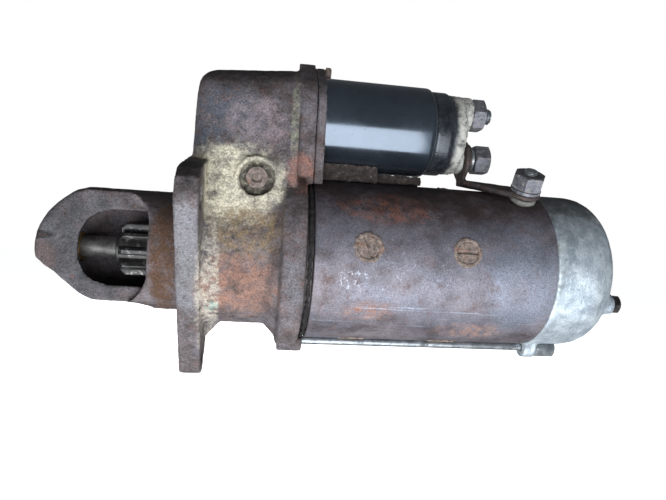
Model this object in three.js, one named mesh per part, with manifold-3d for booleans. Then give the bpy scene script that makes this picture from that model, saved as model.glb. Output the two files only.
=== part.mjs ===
// Heavy-duty starter motor with a piggyback solenoid, as an assembly of separate pieces.
// Millimetres. The origin is the centre of the mounting flange's front face, on the shaft line.
// +X runs from the nose to the commutator end, +Y away from the pinion window, +Z to the solenoid.
import * as THREE from 'three';
import { mergeVertices, toCreasedNormals } from 'three/addons/utils/BufferGeometryUtils.js';
import { ConvexGeometry } from 'three/addons/geometries/ConvexGeometry.js';
import Module from 'manifold-3d';

const wasm = await Module();
wasm.setup();

// Driving dimensions
const gap = 0.3;                       // air between pieces that touch
const solenoidZ = 99.2;                // solenoid axis above the shaft line
const nose = { tip: -96.5, wall: -69.5, radius: 41, cavity: 29.5, windowY: -16, back: -20 };
const flange = { thick: 14.6, discR: 51.5, boltR: 73, earR: 14, holeR: 6.5, ears: [154, 274, 34] };
const neck = { radius: 48.7, cavity: 40, back: 80.5, rimR: 62.5 };
const dome = { front: 3, frontR: 31.5, backR: 36.5, bore: 27 };
const plate = { front: 80.8, back: 85.4, radius: 55.5 };
const yoke = { front: 85.7, back: 252, outer: 57.5, inner: 50.5 };
const cover = { front: 252.3, back: 303, outer: 57, inner: 50, corner: 22 };
const pole = { front: 103, back: 203, faceR: 37, backR: 50.2, tilt: 171.5, screws: [120.5, 187.4] };
const rod = { r: 2.9, places: [[2, -60.77], [39.5, 46.2]] };
const pinion = { teeth: 10, module: 3.175, tipR: 19.25, rootR: 13.3, front: -43, back: -19.5 };
const collar = { front: 48.8, back: 61.2, radius: 24, sleeveR: 16 };
const lever = { x: 46.7, z: 50.5, tilt: -9.6, padR: 5.7, hubR: 9, armY: [24.6, 29.3] };
const brush = { x: [244.3, 263.7], half: 5, inner: 23.4, outer: 44 };
const battery = { z: 17.3, studR: 6, acrossFlats: 22 };
const motor = { z: -17.2, studR: 5, acrossFlats: 20 };
const field = { x: 236.5, angle: 122.5, studR: 5, acrossFlats: 20 };   // angle from +Y towards +Z
const screwAt = [[0, 38.6], [33.6, -19.4]];                        // round the solenoid axis

const degrees = Math.PI / 180;
const hexR = (acrossFlats) => acrossFlats / Math.sqrt(3);

// ---- Shapes ----

// The same surface with shared vertices, no empty triangles, and its faces pointing out.
function welded(geometry) {
  const bare = geometry.clone();
  for (const name of Object.keys(bare.attributes)) {
    if (name !== 'position') bare.deleteAttribute(name);
  }
  const merged = mergeVertices(bare, 1e-4);
  const corners = merged.index.array;
  const at = (i) => new THREE.Vector3().fromBufferAttribute(merged.attributes.position, i);
  const kept = [];
  let volume = 0;
  for (let i = 0; i < corners.length; i += 3) {
    const [a, b, c] = [corners[i], corners[i + 1], corners[i + 2]];
    if (a === b || b === c || c === a) continue;
    kept.push(a, b, c);
    volume += at(a).cross(at(b)).dot(at(c));
  }
  merged.setIndex(volume > 0 ? kept : kept.reverse());
  return merged;
}

function toSolid(geometry) {
  const { index, attributes } = welded(geometry);
  return new wasm.Manifold(new wasm.Mesh({
    numProp: 3,
    vertProperties: new Float32Array(attributes.position.array),
    triVerts: new Uint32Array(index.array),
  }));
}

function fromSolid(solid) {
  const { vertProperties, triVerts } = solid.getMesh();
  const geometry = new THREE.BufferGeometry();
  geometry.setAttribute('position', new THREE.BufferAttribute(vertProperties, 3));
  geometry.setIndex(new THREE.BufferAttribute(triVerts, 1));
  return geometry;
}

const join = (first, ...others) =>
  fromSolid(others.reduce((sum, other) => sum.add(toSolid(other)), toSolid(first)));
const cut = (body, ...tools) =>
  fromSolid(tools.reduce((left, tool) => left.subtract(toSolid(tool)), toSolid(body)));
const overlap = (a, b) => fromSolid(toSolid(a).intersect(toSolid(b)));

// A profile of [along, radius] points turned about the X or Z axis. A profile that doesn't start
// on the axis closes on itself and makes a ring.
function turned(profile, segments = 36, axis = 'x') {
  const points = profile.map(([along, r]) => new THREE.Vector2(r, along));
  if (profile[0][1] > 0) points.push(points[0].clone());
  const geometry = new THREE.LatheGeometry(points, segments);
  return axis === 'x' ? geometry.rotateZ(-Math.PI / 2) : geometry.rotateX(Math.PI / 2);
}

// An outline extruded across its plane: [y, z] along x, [x, z] along y, or [x, y] along z.
function extruded(outline, axis, from, to) {
  const shape = new THREE.Shape(outline.map(([u, v]) => new THREE.Vector2(u, v)));
  const geometry = new THREE.ExtrudeGeometry(shape, { depth: to - from, bevelEnabled: false });
  const [x, y, z] = [[1, 0, 0], [0, 1, 0], [0, 0, 1]].map((d) => new THREE.Vector3(...d));
  const basis = new THREE.Matrix4();
  if (axis === 'x') basis.makeBasis(y, z, x).setPosition(from, 0, 0);
  if (axis === 'y') basis.makeBasis(x, z, y.negate()).setPosition(0, to, 0);
  if (axis === 'z') basis.setPosition(0, 0, from);
  return geometry.applyMatrix4(basis);
}

function block([x0, x1], [y0, y1], [z0, z1]) {
  return new THREE.BoxGeometry(x1 - x0, y1 - y0, z1 - z0)
    .translate((x0 + x1) / 2, (y0 + y1) / 2, (z0 + z1) / 2);
}

// A round or, with few segments, many-sided bar between two points.
function bar(from, to, radius, segments = 16) {
  const [a, b] = [new THREE.Vector3(...from), new THREE.Vector3(...to)];
  const along = b.clone().sub(a);
  const turn = new THREE.Quaternion()
    .setFromUnitVectors(new THREE.Vector3(0, 1, 0), along.clone().normalize());
  const middle = a.add(b).multiplyScalar(0.5);
  return new THREE.CylinderGeometry(radius, radius, along.length(), segments)
    .applyQuaternion(turn).translate(middle.x, middle.y, middle.z);
}

// Points on an arc, as [u, v] pairs.
function arc(u, v, radius, start, end, steps) {
  return Array.from({ length: steps + 1 }, (_, i) => {
    const a = (start + ((end - start) * i) / steps) * degrees;
    return [u + radius * Math.cos(a), v + radius * Math.sin(a)];
  });
}

// The convex outline round a set of circles [u, v, radius], one point for each outward direction.
function around(circles, count) {
  return Array.from({ length: count }, (_, i) => {
    const a = (360 / count) * i * degrees;
    const reach = ([u, v, r]) => u * Math.cos(a) + v * Math.sin(a) + r;
    const [u, v, r] = circles.reduce((far, circle) => (reach(circle) > reach(far) ? circle : far));
    return [u + r * Math.cos(a), v + r * Math.sin(a)];
  });
}

// A skin over outlines [y, z] that stand across X, with flat ends.
function lofted(sections) {
  const count = sections[0].outline.length;
  const position = sections.flatMap(({ x, outline }) => outline.flatMap(([y, z]) => [x, y, z]));
  const index = [];
  for (let i = 0; i < count; i += 1) {
    const next = (i + 1) % count;
    for (let k = 0; k + 1 < sections.length; k += 1) {
      const [near, far] = [k * count, (k + 1) * count];
      index.push(near + i, near + next, far + next, near + i, far + next, far + i);
    }
    if (i > 0 && i + 1 < count) {
      const last = (sections.length - 1) * count;
      index.push(0, i + 1, i, last, last + i, last + i + 1);
    }
  }
  const geometry = new THREE.BufferGeometry();
  geometry.setAttribute('position', new THREE.Float32BufferAttribute(position, 3));
  geometry.setIndex(index);
  return geometry;
}

// Part of a ring about X, centred on +Z and `half` degrees wide to each side.
function sector(inner, outer, half, from, to, steps = 6) {
  const outline = [
    ...arc(0, 0, outer, 90 - half, 90 + half, steps),
    ...arc(0, 0, inner, 90 + half, 90 - half, steps),
  ];
  return extruded(outline, 'x', from, to);
}

// ---- Finishes ----

const finish = (color, metalness, roughness) =>
  new THREE.MeshStandardMaterial({ color, metalness, roughness });
const castIron = finish(0x6b5a4a, 0.4, 0.85);
const paintedSteel = finish(0x4a3c34, 0.4, 0.6);
const blackPaint = finish(0x0b0d12, 0.2, 0.2);
const castAluminium = finish(0x8f989f, 0.8, 0.5);
const machinedSteel = finish(0x55504c, 0.9, 0.45);
const platedSteel = finish(0xa8a8a4, 0.95, 0.35);
const dirtySteel = finish(0x8b7764, 0.5, 0.7);
const laminations = finish(0x3d3a38, 0.7, 0.6);
const copper = finish(0x9a5a3c, 0.9, 0.45);
const bronze = finish(0x8c6a3a, 0.9, 0.45);
const lacquer = finish(0x5b2416, 0.1, 0.5);
const bakelite = finish(0x101012, 0.0, 0.3);
const rubber = finish(0x3a3530, 0.0, 0.9);
const carbon = finish(0x24262a, 0.3, 0.7);

const starter = new THREE.Group();
const solenoid = new THREE.Group();    // its own axis is the solenoid's
solenoid.position.z = solenoidZ;
starter.add(solenoid);

function place(name, geometry, material, parent = starter) {
  const mesh = new THREE.Mesh(toCreasedNormals(welded(geometry), 0.6), material);
  mesh.name = name;
  parent.add(mesh);
  return mesh;
}

// ---- Drive housing ----

const noseShape = cut(
  turned([[nose.tip, 0], [nose.tip, 13.5], [-95.3, 16.8], [-92.3, 21.5], [-89, 25.7], [-84, 31.1],
    [-79, 35.4], [-73, 39.2], [-66, nose.radius], [2, 41.25], [2, 0]], 40),
  extruded([[-101, -9], [-95, -9], [-91.5, -11.9], [-89, -14.5], [-84, -17.3], [-79, -21.5],
    [-76.5, -23.6], [-67, -31.4], [-57.7, -36], [-29, -36.5], [-20, -39], [-12, -42], [-12, -60], [-101, -60]], 'y', -50, 50),
  extruded([[-110, -38.5], ...arc(-45, -13.5, 25, -90, 0, 6), ...arc(-45, 13.5, 25, 0, 90, 6),
    [-110, 38.5]], 'y', -60, nose.windowY),
);

// The flange is a disc with three bolt ears, filled up to the dome between the upper two.
const ears = flange.ears.map((angle) => {
  const [y, z] = [Math.cos(angle * degrees), Math.sin(angle * degrees)];
  const outline = around([[0, 0, flange.discR], [y * flange.boltR, z * flange.boltR, flange.earR]], 32);
  return { y: y * flange.boltR, z: z * flange.boltR, solid: extruded(outline, 'x', 0, flange.thick) };
});
const flangeTop = extruded([[-60, 20], [-79, 35], [-78, 43], [-70, 50], [-59, 54], [-43, 58.6], [0, 70], [50, 58], [60, 20]],
  'x', 0, flange.thick);

// The dome over the lever shrinks into a rounded front end.
const domeSections = [[0, 8.5], [1.6, 5], [5, 1.7], [10.5, 0], [70, 0]].map(([back, less]) => {
  const grow = Math.min(1, Math.max(0, (back - 5) / 65));
  const r = dome.frontR + (dome.backR - dome.frontR) * grow;
  const outline = around([[0, solenoidZ, r - less], [0, 18, 42 + 4 * grow - less]], 32);
  return { x: dome.front + back, outline };
});

const solenoidSeat = cut(
  extruded(around([[0, solenoidZ, 34.5], [0, 62, 33], [0, 132, 9.5]], 32), 'x', 72.5, 84.7),
  block([60, 100], [-40, 40], [140.2, 160]),
  bar([80.5, 0, 0], [100, 0, 0], yoke.outer + 0.8, 40),
);
const screwLugs = screwAt.map(([y, z]) => bar([72.5, y, z + solenoidZ], [84.7, y, z + solenoidZ], 5.6, 14));

const rim = turned([[52, 0], [52, 46], [56, neck.radius], [64.4, 57], [65.5, neck.rimR],
  [neck.back, neck.rimR], [neck.back, 0]], 40);
const rodLugs = rod.places.map(([y, z]) => bar([67, y, z], [85, y, z], 8, 14));
const pivotBoss = bar([lever.x, -41.5, lever.z], [lever.x, 41, lever.z], 14.5, 24);
const rib = extruded([[10, -67], [10, -44], [30, -44], [26, -49]], 'y', 0, 12);

let housing = join(
  noseShape,
  turned([[-20, 0], [-20, 41.25], [10, 41.25], [10, neck.radius], [60, neck.radius], [60, 0]], 40),
  ...ears.map((ear) => ear.solid), flangeTop, lofted(domeSections), solenoidSeat, ...screwLugs, rim,
  ...rodLugs, pivotBoss, rib,
);
housing = cut(
  housing,
  turned([[nose.wall, 0], [nose.wall, 14], [-68, 18], [-64, 23], [-58, 27.3], [-49, nose.cavity],
    [18, nose.cavity], [24, neck.cavity], [90, neck.cavity], [90, 0]], 36),
  bar([-94, 0, 0], [-60, 0, 0], 10, 24),                      // nose bush bore
  bar([80.5, 0, 0], [90, 0, 0], yoke.outer + 0.7, 40),        // clears plate and yoke
  block([33, 61], [-31, 31], [18, 61.5]),                     // lever fork
  block([28, 64], [-11, 11], [55, 85]),                       // lever arm
  bar([12, 0, solenoidZ], [90, 0, solenoidZ], dome.bore, 28), // plunger chamber
  bar([lever.x, -60, lever.z], [lever.x, 60, lever.z], 5.3, 16), // pivot pin
  bar([lever.x, -60, lever.z], [lever.x, -35.4, lever.z], 11.8, 24), // pin head
  ...ears.map(({ y, z }) => bar([-5, y, z], [flange.thick + 25, y, z], flange.holeR, 16)),
  ...rod.places.map(([y, z]) => bar([60, y, z], [95, y, z], rod.r + gap, 12)),
  ...screwAt.map(([y, z]) => bar([65, y, z + solenoidZ], [95, y, z + solenoidZ], 3.2, 12)),
);
place('drive_housing', housing, castIron);
place('nose_bush', turned([[-93.6, 9.7], [-70, 9.7], [-70, 7.75], [-93.6, 7.75]], 24), bronze);

// ---- Centre bearing plate ----

place('center_bearing_plate', turned([[70, 12.3], [70, 16.5], [78, 18.5], [plate.front, 22],
  [plate.front, plate.radius], [plate.back, plate.radius], [plate.back, 12.3]], 32), machinedSteel);
place('center_bush', turned([[70.3, 12], [85.1, 12], [85.1, 10.2], [70.3, 10.2]], 24), bronze);

// ---- Yoke, pole shoes and field coils ----

const fieldAxis = [Math.cos(field.angle * degrees), Math.sin(field.angle * degrees)];
const onField = (r) => [field.x, fieldAxis[0] * r, fieldAxis[1] * r];
const poleAngles = [0, 1, 2, 3].map((i) => pole.tilt + 90 * i);
const yokeCuts = poleAngles.flatMap((angle) => {
  const [y, z] = [Math.cos(angle * degrees), Math.sin(angle * degrees)];
  return pole.screws.flatMap((x) => [
    bar([x, y * 45, z * 45], [x, y * 60, z * 60], 4.6, 8),
    bar([x, y * 54.5, z * 54.5], [x, y * 60, z * 60], 7.9, 12),
  ]);
});
place('yoke', cut(
  turned([[yoke.front, yoke.outer], [yoke.back, yoke.outer], [yoke.back, yoke.inner],
    [yoke.front, yoke.inner]], 40),
  ...yokeCuts,
  bar(onField(40), onField(60), 8, 16),
), paintedSteel);

const poleShoe = cut(
  join(sector(40.5, pole.backR, 17, pole.front + 2, pole.back - 2),
    sector(pole.faceR, 41, 32, pole.front, pole.back)),
  ...pole.screws.map((x) => bar([x, 0, 43.5], [x, 0, 52], 4.6, 8)),
);
const fieldCoil = cut(
  sector(41.4, 49.8, 41, pole.front - 12, pole.back + 12, 8),
  sector(38, 54, 18.5, pole.front + 1, pole.back - 1),
);
const screwSpins = [-20, 90, 35, 70, 10, 130, 55, 100];
poleAngles.forEach((angle, i) => {
  const quarter = new THREE.Group();   // its +Z is the pole's outward direction
  quarter.rotation.x = (angle - 90) * degrees;
  starter.add(quarter);
  place(`pole_shoe_${i + 1}`, poleShoe, laminations, quarter);
  place(`field_coil_${i + 1}`, fieldCoil, lacquer, quarter);
  pole.screws.forEach((x, k) => {
    const screw = cut(
      turned([[44, 0], [44, 4], [54.8, 4], [54.8, 6.85], [57.2, 6.85], [57.9, 6], [57.9, 0]], 12, 'z'),
      block([-8, 8], [-0.9, 0.9], [56, 60]),
    );
    const mesh = place(`pole_screw_${2 * i + k + 1}`, screw, dirtySteel, quarter);
    mesh.position.x = x;
    mesh.rotation.z = (screwSpins[2 * i + k] + 90) * degrees;
  });
});

// ---- End cover, brush gear and through bolts ----

const boltAt = [[-37, -22.3], [37, 22.3]];
const coverSkin = turned([[cover.front, 0], [cover.front, cover.outer],
  ...arc(cover.back - cover.corner, cover.outer - cover.corner, cover.corner, 90, 0, 6),
  [cover.back, 0]], 40);
const shaved = cut(coverSkin, extruded([[304, -30], [320, -30], [320, -70], [288, -70], [288, -58]],
  'y', -70, 70));
const coverCavity = turned([[250, 0], [250, cover.inner], [280, cover.inner], [289, 45.5], [294.5, 36.5],
  [297, 25], [297, 0]], 32);
place('end_cover', cut(
  join(
    cut(shaved, coverCavity),
    overlap(bar([280, 0, 0], [302.6, 0, 0], 14, 20), coverSkin),
    ...boltAt.map(([y, z]) => bar([285, y, z], [304.2, y, z], 7.5, 14)),
    ...rod.places.map(([y, z]) => cut(
      extruded(around([[y, z, 8], [y * 0.86, z * 0.86, 10]], 14), 'x', 256, 266),
      bar([250, 0, 0], [270, 0, 0], cover.inner + 2, 32),
    )),
  ),
  bar([270, 0, 0], [300.3, 0, 0], 10.3, 24),
  ...boltAt.map(([y, z]) => bar([280, y, z], [310, y, z], 3.3, 10)),
  ...rod.places.map(([y, z]) => bar([250, y, z], [270, y, z], rod.r + gap, 12)),
  ...rod.places.map(([y, z]) => bar([266, y, z], [283, y, z], 8.2, 12)),       // room for the long nuts
), castAluminium);
place('rear_bush', turned([[281, 10], [299.9, 10], [299.9, 8.3], [281, 8.3]], 24), bronze);

const holders = [0, 90, 180, 270].map((angle) => cut(
  block([242, 269], [-7.2, 7.2], [25, 47]),
  block([brush.x[0] - gap, brush.x[1] + gap], [-brush.half - gap, brush.half + gap], [20, 50]),
).rotateX(angle * degrees));
place('brush_plate', cut(
  join(turned([[268.3, 49.2], [271.5, 49.2], [271.5, 26], [268.3, 26]], 32), ...holders),
  ...boltAt.map(([y, z]) => bar([260, y, z], [280, y, z], 3.3, 10)),
), machinedSteel);
[0, 90, 180, 270].forEach((angle, i) => {
  const piece = block(brush.x, [-brush.half, brush.half], [brush.inner, brush.outer]);
  place(`brush_${i + 1}`, piece, carbon).rotation.x = angle * degrees;
});

rod.places.forEach(([y, z], i) => place(`through_bolt_${i + 1}`, join(
  bar([66, y, z], [274, y, z], rod.r, 12),
  bar([266.3, y, z], [282, y, z], hexR(13), 6),
), platedSteel));
boltAt.forEach(([y, z], i) => place(`cover_bolt_${i + 1}`, join(
  bar([265, y, z], [307, y, z], 3, 10),
  bar([304.5, y, z], [309.5, y, z], hexR(12), 6),
), machinedSteel));

// ---- Field terminal and the strap from the solenoid ----

place('field_terminal_insulator', cut(
  join(bar(onField(49), onField(61.3), 7.6), bar(onField(58.2), onField(61.3), 9.2)),
  bar(onField(40), onField(70), field.studR + gap, 12),
), bakelite);
place('field_terminal_stud', join(
  bar(onField(45), onField(82), field.studR, 12),
  bar(onField(44), onField(48.7), 7.5, 6),
), platedSteel);
place('field_terminal_nut', cut(
  join(bar(onField(65.9), onField(68.5), 10.5), bar(onField(68.3), onField(79.5), hexR(20), 6)),
  bar(onField(60), onField(90), field.studR + gap, 12),
), dirtySteel);

const strapX = [199.7, 202.7];
const strapSide = [-fieldAxis[1] * -7, fieldAxis[0] * -7];      // half the strap's width, in y and z
const strapEnd = [62.6, 65.6].flatMap((r) => [-1, 1].map((side) => {
  const [x, y, z] = onField(r);
  return new THREE.Vector3(x - 7, y + side * strapSide[0], z + side * strapSide[1]);
}));
const strapStart = strapX.flatMap((x) => [-7, 7].flatMap((y) =>
  [61.8, 64.8].map((z) => new THREE.Vector3(x, y, z))));
place('link_strap', cut(
  join(
    bar([strapX[0], 0, solenoidZ + motor.z - 1.5], [strapX[1], 0, solenoidZ + motor.z - 1.5], 15.5, 24),
    block(strapX, [-7, 7], [61.8, 75]),
    new ConvexGeometry([...strapStart, ...strapEnd]),
    bar(onField(62.6), onField(65.6), 11),
  ),
  bar([190, 0, solenoidZ + motor.z], [210, 0, solenoidZ + motor.z], motor.studR + gap, 12),
  bar(onField(60), onField(70), field.studR + gap, 12),
), copper);

// ---- Solenoid, about its own axis ----

place('solenoid_case', cut(
  join(
    turned([[85, 12.8], [85, 33.4], [166.5, 33.4], [169.6, 32.4], [171.3, 30.6], [171.3, 29.6],
      [96.3, 29.6], [96.3, 12.8]], 36),
    extruded(around([[0, 0, 33.8], [0, -37.2, 32], [0, 32.8, 9], [screwAt[1][0], screwAt[1][1], 6.5]], 40), 'x', 85, 91.3),
  ),
  block([80, 100], [-20, 20], [139.6 - solenoidZ, 60]),
  bar([80, 0, -solenoidZ], [100, 0, -solenoidZ], yoke.outer + 0.8, 40),
  bar([80, 0, 0], [100, 0, 0], 12.8, 24),
  ...screwAt.map(([y, z]) => bar([80, y, z], [100, y, z], 3.2, 12)),
), blackPaint, solenoid);
place('solenoid_coil', turned([[96.6, 13.9], [96.6, 29.2], [99, 29.2], [99, 27.8], [147.5, 27.8],
  [147.5, 29.2], [150, 29.2], [150, 13.9]], 24), copper, solenoid);
place('solenoid_core', turned([[141.6, 3.6], [141.6, 13.3], [150.3, 13.3], [150.3, 29.2],
  [160, 29.2], [160, 3.6]], 28), machinedSteel, solenoid);

place('solenoid_cap', cut(
  join(
    turned([[160.3, 24], [160.3, 29.2], [171.6, 29.2], [171.6, 31.3], [182.6, 31.3], [183.6, 30.3],
      [193, 29.6], [195, 27.5], [195, 5], [186, 5], [186, 24]], 28),
    bar([190, 0, 0], [195, 0, 0], 10, 12),
    bar([186, 0, 0], [191, 0, 0], 10, 12),
    bar([188, 0, battery.z], [205, 0, battery.z], 13, 20),
    bar([188, 0, motor.z], [199.4, 0, motor.z], 11.5, 20),
  ),
  bar([180, 0, battery.z], [210, 0, battery.z], battery.studR + gap, 12),
  bar([180, 0, motor.z], [210, 0, motor.z], motor.studR + gap, 12),
), bakelite, solenoid);
place('battery_stud', join(
  bar([182, 0, battery.z], [222, 0, battery.z], battery.studR, 12),
  bar([180.4, 0, battery.z], [185.7, 0, battery.z], 6.5, 6),
), platedSteel, solenoid);
place('battery_nut', cut(
  bar([205.5, 0, battery.z], [216, 0, battery.z], hexR(battery.acrossFlats), 6),
  bar([200, 0, battery.z], [220, 0, battery.z], battery.studR + gap, 12),
), dirtySteel, solenoid);
place('motor_stud', join(
  bar([182, 0, motor.z], [219.5, 0, motor.z], motor.studR, 12),
  bar([180.4, 0, motor.z], [185.7, 0, motor.z], 6.5, 6),
), platedSteel, solenoid);
place('motor_nut', cut(
  bar([209.3, 0, motor.z], [221.3, 0, motor.z], hexR(motor.acrossFlats), 6),
  bar([200, 0, motor.z], [230, 0, motor.z], motor.studR + gap, 12),
), dirtySteel, solenoid);
const washer = (from, to, outer, inner) =>
  turned([[from, outer], [to, outer], [to, inner], [from, inner]], 16).translate(0, 0, motor.z);
place('motor_washer', washer(203, 205.7, 11.5, motor.studR + gap), copper, solenoid);
place('motor_spring_washer', washer(206, 209, 9.5, motor.studR + gap), platedSteel, solenoid);

place('contact_disc', join(
  turned([[171.8, 0], [171.8, 21], [174.5, 21], [174.5, 0]], 24),
  bar([128, 0, 0], [172, 0, 0], 3.2, 12),
), copper, solenoid);

// The plunger's front end is a flat eye that holds the lever's round top; its back is hollow.
place('plunger', cut(
  join(turned([[60, 0], [60, 10], [62, 12.2], [125, 12.2], [125, 0]], 24),
    block([29, 61], [-8, 8], [-7.5, 7.5])),
  block([32.5, 44.7], [-3.4, 3.4], [-10, 10]),
  bar([100, 0, 0], [130, 0, 0], 9, 16),
), machinedSteel, solenoid);

const springEnds = [100.9, 140.4];
const springPath = new THREE.CatmullRomCurve3(Array.from({ length: 43 }, (_, i) => {
  const a = (i / 7) * 2 * Math.PI;
  return new THREE.Vector3(springEnds[0] + ((springEnds[1] - springEnds[0]) * i) / 42,
    6.6 * Math.cos(a), 6.6 * Math.sin(a));
}));
const wire = new THREE.Shape(arc(0, 0, 0.8, 0, 270, 3).map(([u, v]) => new THREE.Vector2(u, v)));
place('plunger_spring', new THREE.ExtrudeGeometry(wire, { steps: 48, extrudePath: springPath }),
  platedSteel, solenoid);

screwAt.forEach(([y, z], i) => place(`solenoid_screw_${i + 1}`, join(
  bar([76, y, z], [94, y, z], 2.9, 10),
  bar([92.3, y, z], [96.3, y, z], 4.5, 6),
), dirtySteel, solenoid));

// The seal fills the gap between the solenoid and the yoke, and thins into a tongue.
place('lever_seal', cut(
  join(block([91.9, 133], [-15, 15], [53, 72]), block([130, 167], [-9, 9], [57.9, 64])),
  bar([80, 0, 0], [180, 0, 0], yoke.outer + gap, 40),
  bar([80, 0, solenoidZ], [180, 0, solenoidZ], 33.4 + gap, 36),
  ...screwAt.map(([y, z]) => bar([91, y, z + solenoidZ], [98, y, z + solenoidZ], 6, 12)),
  bar([pole.screws[0], 0, 50], [pole.screws[0], 0, yoke.outer + 1], 8.3).rotateX((pole.tilt - 180) * degrees),
), rubber);

// ---- Armature ----

place('armature_shaft', turned([[-92, 0], [-92, 6.5], [-91, 7.45], [-16.2, 7.45], [-16.2, 8.95],
  [67, 8.95], [67, 9.9], [87, 9.9], [87, 11], [266, 11], [266, 8], [296, 8], [297, 7], [297, 0]], 20),
machinedSteel);
const slots = 12;
const notched = Array.from({ length: slots }, (_, i) => {
  const middle = (360 / slots) * i;
  const [inner, outer] = [Math.atan2(3, 26) / degrees, Math.atan2(3, 36) / degrees];
  return [[26, -inner], [36, -outer]].reverse()
    .map(([r, a]) => [r * Math.cos((middle + a) * degrees), r * Math.sin((middle + a) * degrees)])
    .concat([[26, inner], [36, outer], [36, 10]]
      .map(([r, a]) => [r * Math.cos((middle + a) * degrees), r * Math.sin((middle + a) * degrees)]));
}).flat();
place('armature_core', cut(extruded(notched, 'x', pole.front, pole.back),
  bar([90, 0, 0], [220, 0, 0], 11.3, 24)), laminations);
const windingBars = Array.from({ length: slots }, (_, i) =>
  block([95, 212], [-2.6, 2.6], [26.5, 34]).rotateX(((360 / slots) * i - 90) * degrees));
const endTurns = (from, to) => turned([[from, 14], [from, 33], [from + 1.5, 34.5], [to - 1.5, 34.5],
  [to, 33], [to, 14]], 24);
place('armature_winding', join(endTurns(89, pole.front - gap), endTurns(pole.back + gap, 224.5),
  ...windingBars), copper);
place('commutator', turned([[225, 11.3], [225, 29], [230, 29], [230, 23], [265, 23], [265, 11.3]], 28),
  copper);

// ---- Drive: clutch barrel and pinion ----

place('clutch_barrel', turned([[-17, 14.3], [-17, 26.5], [-15.5, 28], [20.5, 28], [22, 26.5],
  [22, collar.sleeveR], [45, collar.sleeveR], [45, collar.radius], [collar.front, collar.radius],
  [collar.front, collar.sleeveR], [collar.back, collar.sleeveR], [collar.back, collar.radius],
  [65, collar.radius], [65, 9.3], [8.6, 9.3], [8.6, 14.3]], 28), machinedSteel);

// Involute flanks: half the tooth angle falls as inv(pressure angle at r) grows.
const inv = (a) => Math.tan(a) - a;
const pitchR = (pinion.teeth * pinion.module) / 2;
const baseR = pitchR * Math.cos(20 * degrees);
const halfTooth = (r) => {
  const pitchHalf = (Math.PI / 2 + Math.tan(20 * degrees)) / pinion.teeth;
  return pitchHalf + inv(20 * degrees) - inv(Math.acos(Math.min(1, baseR / r)));
};
const flank = [pinion.rootR, baseR, 16, 17.6, pinion.tipR];
const toothed = Array.from({ length: pinion.teeth }, (_, i) => {
  const middle = (i * 2 * Math.PI) / pinion.teeth + 188 * degrees;
  const point = (r, side) => [r * Math.cos(middle + side * halfTooth(r)),
    r * Math.sin(middle + side * halfTooth(r))];
  return [...flank.map((r) => point(r, -1)), ...flank.toReversed().map((r) => point(r, 1))];
}).flat();
place('pinion', cut(
  join(
    overlap(extruded(toothed, 'x', pinion.front, pinion.back),
      turned([[-44, 0], [pinion.front, 16.6], [-40.2, 19.4], [-18, 19.4], [-18, 0]], 24)),
    turned([[-46, 0], [-46, 10.8], [-45.3, 11.5], [-42, 11.5], [-42, 13], [-25, 13], [-25, 13.9],
      [8.2, 13.9], [8.2, 0]], 20),
  ),
  turned([[-50, 0], [-50, 7.8], [-16.8, 7.8], [-16.8, 9.3], [12, 9.3], [12, 0]], 20),
), machinedSteel);

// ---- Shift lever and its pivot pin ----

// Drawn upright about its pivot, then leaned back to the rest position.
const along = (r, y0, y1, z, sides = 16) => bar([0, y0, z], [0, y1, z], r, sides);
const leverShape = cut(
  join(
    along(lever.hubR, -lever.armY[1], lever.armY[1], 0),
    extruded([[-7, 0], [7, 0], [4, 46], [-4, 46]], 'y', -5.5, 5.5),
    along(5.7, -3, 3, solenoidZ - lever.z),
    block([-4, 4], [-3, 3], [40, 48]),
    ...[-1, 1].flatMap((side) => {
      const [y0, y1] = side < 0 ? [-lever.armY[1], -lever.armY[0]] : lever.armY;
      const pad = side < 0 ? [-lever.armY[1], -17.5] : [17.5, lever.armY[1]];
      return [extruded([[-6.5, -lever.z], [6.5, -lever.z], [6.5, 0], [-6.5, 0]], 'y', y0, y1),
        along(6.5, y0, y1, -lever.z), along(lever.padR, ...pad, -lever.z)];
    }),
  ),
  block([-20, 20], [-10, -3.01], [38.5, 60]),
  block([-20, 20], [3.01, 10], [38.5, 60]),
  along(5.3, -40, 40, 0),
);
const leverMesh = place('shift_lever', leverShape, machinedSteel);
leverMesh.position.set(lever.x, 0, lever.z);
leverMesh.rotation.y = lever.tilt * degrees;
place('lever_pivot_pin', cut(
  join(bar([lever.x, -41, lever.z], [lever.x, 41.5, lever.z], 5, 16),
    bar([lever.x, -42.3, lever.z], [lever.x, -35.7, lever.z], 7.25, 20)),
  bar([lever.x, -45, lever.z], [lever.x, -41.4, lever.z], 3, 10),
), machinedSteel);

export default starter;
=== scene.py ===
import math
import bpy
import bmesh
import numpy as np
from mathutils import Matrix, Vector


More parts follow.
